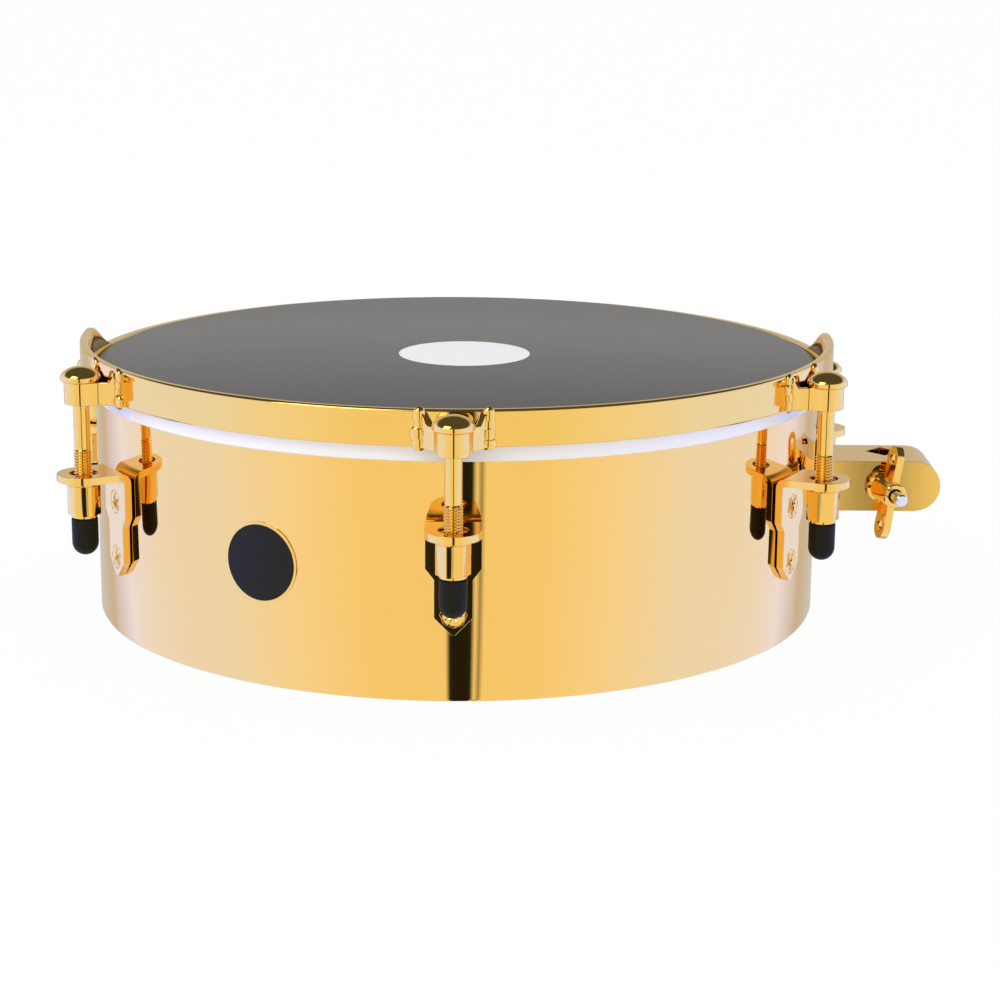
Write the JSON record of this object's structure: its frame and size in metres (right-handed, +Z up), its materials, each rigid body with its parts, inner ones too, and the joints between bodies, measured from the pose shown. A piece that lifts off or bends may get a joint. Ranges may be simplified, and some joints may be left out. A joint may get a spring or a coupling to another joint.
{
  "type": "hand bale drum",
  "caption": "Shallow metal hand drum with a film head, a cutaway tension rim, lugs with rods and nuts round the shell, and a clamp for a stand rod.",
  "frame": {"origin": "centre of the playing face of the head", "axes": "+Z up out of the head, -Y towards the front view, +X towards the stand clamp"},
  "size_m": [0.4071, 0.3868, 0.1234],
  "materials": {
    "gold": "gold plated steel, mirror polished",
    "film": "black polyester film, satin",
    "aluminium": "rolled hoop, satin",
    "rubber": "moulded, matt",
    "steel": "bright zinc plated bolt"
  },
  "bodies": {
    "drum": {"shell": "gold", "head": "film", "flesh_hoop": "aluminium", "clamp_body": "gold", "clamp_screw_upper": "gold", "clamp_screw_lower": "gold", "lug_bracket_front_left": "gold", "bracket_screw_front_left_upper": "gold", "bracket_screw_front_left_lower": "gold", "lug_bracket_front_centre": "gold", "bracket_screw_front_centre_upper": "gold", "bracket_screw_front_centre_lower": "gold", "lug_bracket_front_right": "gold", "bracket_screw_front_right_upper": "gold", "bracket_screw_front_right_lower": "gold", "lug_bracket_back_right": "gold", "bracket_screw_back_right_upper": "gold", "bracket_screw_back_right_lower": "gold", "lug_bracket_back_centre": "gold", "bracket_screw_back_centre_upper": "gold", "bracket_screw_back_centre_lower": "gold", "lug_bracket_back_left": "gold", "bracket_screw_back_left_upper": "gold", "bracket_screw_back_left_lower": "gold"},
    "hoop": {"rim": "gold", "rim_ear_front_left": "gold", "tension_rod_front_left": "gold", "rim_ear_front_centre": "gold", "tension_rod_front_centre": "gold", "rim_ear_front_right": "gold", "tension_rod_front_right": "gold", "rim_ear_back_right": "gold", "tension_rod_back_right": "gold", "rim_ear_back_centre": "gold", "tension_rod_back_centre": "gold", "rim_ear_back_left": "gold", "tension_rod_back_left": "gold"},
    "nut_front_left": {"tension_nut_front_left": "gold", "rod_cap_front_left": "rubber"},
    "nut_front_centre": {"tension_nut_front_centre": "gold", "rod_cap_front_centre": "rubber"},
    "nut_front_right": {"tension_nut_front_right": "gold", "rod_cap_front_right": "rubber"},
    "nut_back_right": {"tension_nut_back_right": "gold", "rod_cap_back_right": "rubber"},
    "nut_back_centre": {"tension_nut_back_centre": "gold", "rod_cap_back_centre": "rubber"},
    "nut_back_left": {"tension_nut_back_left": "gold", "rod_cap_back_left": "rubber"},
    "wing_nut": {"wing_nut": "gold"},
    "eye_bolt": {"eye_bolt": "steel"}
  },
  "joints": [
    {"name": "nut_turn_front_left", "type": "hinge", "parent": "drum", "child": "nut_front_left", "pos_m": [-0.1584, -0.08962, -0.0384], "axis": [0, 0, -1], "range_deg": [0, 1152]},
    {"name": "nut_turn_front_centre", "type": "hinge", "parent": "drum", "child": "nut_front_centre", "pos_m": [0.00159, -0.18199, -0.0384], "axis": [0, 0, -1], "range_deg": [0, 1152]},
    {"name": "nut_turn_front_right", "type": "hinge", "parent": "drum", "child": "nut_front_right", "pos_m": [0.1584, -0.08962, -0.0384], "axis": [0, 0, -1], "range_deg": [0, 1152]},
    {"name": "nut_turn_back_right", "type": "hinge", "parent": "drum", "child": "nut_back_right", "pos_m": [0.1745, 0.05169, -0.0469], "axis": [0, 0, -1], "range_deg": [0, 1152]},
    {"name": "nut_turn_back_centre", "type": "hinge", "parent": "drum", "child": "nut_back_centre", "pos_m": [0, 0.182, -0.0469], "axis": [0, 0, -1], "range_deg": [0, 1152]},
    {"name": "nut_turn_back_left", "type": "hinge", "parent": "drum", "child": "nut_back_left", "pos_m": [-0.1745, 0.05169, -0.0469], "axis": [0, 0, -1], "range_deg": [0, 1152]},
    {"name": "hoop_lift", "type": "slide", "parent": "drum", "child": "hoop", "axis": [0, 0, 1], "range_m": [0, 0.004]},
    {"name": "wing_nut_turn", "type": "hinge", "parent": "drum", "child": "wing_nut", "pos_m": [0.1934, -0.017, -0.0558], "axis": [0.2079, -0.9781, 0], "range_deg": [0, 1080]},
    {"name": "eye_bolt_slide", "type": "slide", "parent": "drum", "child": "eye_bolt", "axis": [0.2079, -0.9781, 0], "range_m": [0, 0.003]}
  ],
  "couplings": [
    {"joint": "nut_turn_front_left", "follows": "hoop_lift", "rad_per_m": 5026.6},
    {"joint": "nut_turn_front_centre", "follows": "hoop_lift", "rad_per_m": 5026.6},
    {"joint": "nut_turn_front_right", "follows": "hoop_lift", "rad_per_m": 5026.6},
    {"joint": "nut_turn_back_right", "follows": "hoop_lift", "rad_per_m": 5026.6},
    {"joint": "nut_turn_back_centre", "follows": "hoop_lift", "rad_per_m": 5026.6},
    {"joint": "nut_turn_back_left", "follows": "hoop_lift", "rad_per_m": 5026.6},
    {"joint": "eye_bolt_slide", "follows": "wing_nut_turn", "m_per_rad": 0.00015915}
  ]
}
